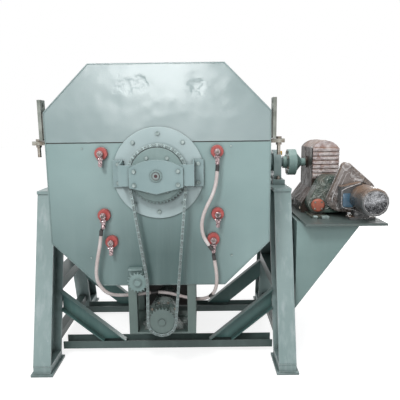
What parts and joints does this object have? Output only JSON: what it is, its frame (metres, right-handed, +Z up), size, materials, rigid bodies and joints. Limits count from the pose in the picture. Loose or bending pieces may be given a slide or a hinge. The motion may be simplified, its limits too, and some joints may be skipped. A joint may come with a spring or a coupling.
{
  "type": "rotary drum furnace",
  "caption": "Tilting rotary drum furnace: octagonal lined casing on trunnions in a leg frame, chain-driven drum, end door, worm gearbox with motor on a side platform.",
  "frame": {"origin": "centre of the foot bolt pattern, on the floor under the trunnion axis", "axes": "+Z up, -Y towards the chain drive end, +X towards the tilt gearbox"},
  "size_m": [2.1555, 1.598, 1.837],
  "materials": {
    "casing_paint": "satin grey-green paint",
    "frame_paint": "satin grey-green paint",
    "fibre_lining": "pressed mineral fibre",
    "element_alloy": "oxidised",
    "drum_steel": "heat-dulled",
    "bearing_iron": "painted casting",
    "bolt_steel": "plain",
    "chain_steel": "oiled",
    "drum_motor_paint": "painted casting",
    "terminal_red": "moulded",
    "clamp_chrome": "bright",
    "cable_braid": "woven sleeve",
    "lug_black": "dark",
    "coupling_paint": "satin grey-green paint",
    "gearbox_brown": "painted casting",
    "cap_orange": "satin",
    "tilt_motor_grey": "painted casting",
    "gear_bronze": "machined",
    "shaft_steel": "machined",
    "cup_brass": "plain"
  },
  "bodies": {
    "stand": {"left_front_leg": "frame_paint", "left_rear_leg": "frame_paint", "right_front_leg": "frame_paint", "right_rear_leg": "frame_paint", "top_plates": "frame_paint", "front_cross_rail": "frame_paint", "rear_cross_rail": "frame_paint", "side_rails": "frame_paint", "braces": "frame_paint", "drive_bracket": "frame_paint", "drive_platform": "frame_paint", "gearbox_housing": "gearbox_brown", "first_stage_case": "gearbox_brown", "stage_cap": "cap_orange", "tilt_motor": "tilt_motor_grey", "pillow_blocks": "bearing_iron", "pillow_bolts": "bolt_steel", "grease_cups": "cup_brass"},
    "furnace": {"lower_casing": "casing_paint", "upper_casing": "casing_paint", "lower_lining": "fibre_lining", "upper_lining": "fibre_lining", "heating_elements": "element_alloy", "end_flange": "casing_paint", "bearing_brackets": "casing_paint", "bearing_plate": "casing_paint", "front_bearing": "bearing_iron", "front_bolts": "bolt_steel", "drive_chain": "chain_steel", "idler_bracket": "casing_paint", "cradle_posts": "casing_paint", "cradle_floor": "casing_paint", "drum_motor": "drum_motor_paint", "terminal_discs": "terminal_red", "terminal_clamps": "clamp_chrome", "upper_cable": "cable_braid", "lower_cable": "cable_braid", "cable_lugs": "lug_black", "left_trunnion": "casing_paint", "right_trunnion": "casing_paint", "coupling_inner": "coupling_paint", "coupling_outer": "coupling_paint", "coupling_bolts": "bolt_steel", "worm_wheel": "gear_bronze", "lifting_lugs": "casing_paint", "split_ears": "casing_paint", "split_bolts": "bolt_steel", "rear_brackets": "casing_paint"},
    "drum": {"drum": "drum_steel", "drive_sprocket": "chain_steel", "sprocket_hub": "chain_steel", "hub_bolts": "bolt_steel"},
    "motor_shaft": {"motor_sprocket": "chain_steel"},
    "idler": {"idler_sprocket": "chain_steel"},
    "left_roller": {"left_roller": "shaft_steel"},
    "right_roller": {"right_roller": "shaft_steel"},
    "door": {"door": "casing_paint", "door_plug": "fibre_lining"},
    "latch": {"door_latch": "shaft_steel"},
    "worm": {"worm_shaft": "shaft_steel"}
  },
  "joints": [
    {"name": "body_tilt", "type": "hinge", "parent": "stand", "child": "furnace", "pos_m": [0, 0, 1.245], "axis": [1, 0, 0], "range_deg": [-45, 15]},
    {"name": "drum_spin", "type": "hinge", "parent": "furnace", "child": "drum", "pos_m": [0, 0, 1.245], "axis": [0, 1, 0], "continuous": true, "deforming": ["drive_chain"]},
    {"name": "motor_shaft_spin", "type": "hinge", "parent": "furnace", "child": "motor_shaft", "pos_m": [0.004, -0.725, 0.402], "axis": [0, 1, 0], "continuous": true},
    {"name": "idler_spin", "type": "hinge", "parent": "furnace", "child": "idler", "pos_m": [-0.12661, -0.725, 0.638], "axis": [0, 1, 0], "continuous": true},
    {"name": "left_roller_spin", "type": "hinge", "parent": "furnace", "child": "left_roller", "pos_m": [-0.14924, 0.68, 1.03186], "axis": [0, 1, 0], "continuous": true},
    {"name": "right_roller_spin", "type": "hinge", "parent": "furnace", "child": "right_roller", "pos_m": [0.14924, 0.68, 1.03186], "axis": [0, 1, 0], "continuous": true},
    {"name": "door_swing", "type": "hinge", "parent": "furnace", "child": "door", "pos_m": [-0.32, 0.732, 1.245], "axis": [0, 0, 1], "range_deg": [0, 110]},
    {"name": "latch_turn", "type": "hinge", "parent": "door", "child": "latch", "pos_m": [0.275, 0.721, 1.245], "axis": [0, -1, 0], "range_deg": [0, 90]},
    {"name": "worm_spin", "type": "hinge", "parent": "stand", "child": "worm", "pos_m": [1.06, 0, 1.1], "axis": [0, 1, 0], "range_deg": [-1800, 600]}
  ],
  "couplings": [
    {"joint": "motor_shaft_spin", "follows": "drum_spin", "ratio": 2},
    {"joint": "idler_spin", "follows": "drum_spin", "ratio": -2.8889},
    {"joint": "left_roller_spin", "follows": "drum_spin", "ratio": -4.7778},
    {"joint": "right_roller_spin", "follows": "drum_spin", "ratio": -4.7778},
    {"joint": "worm_spin", "follows": "body_tilt", "ratio": 40}
  ]
}
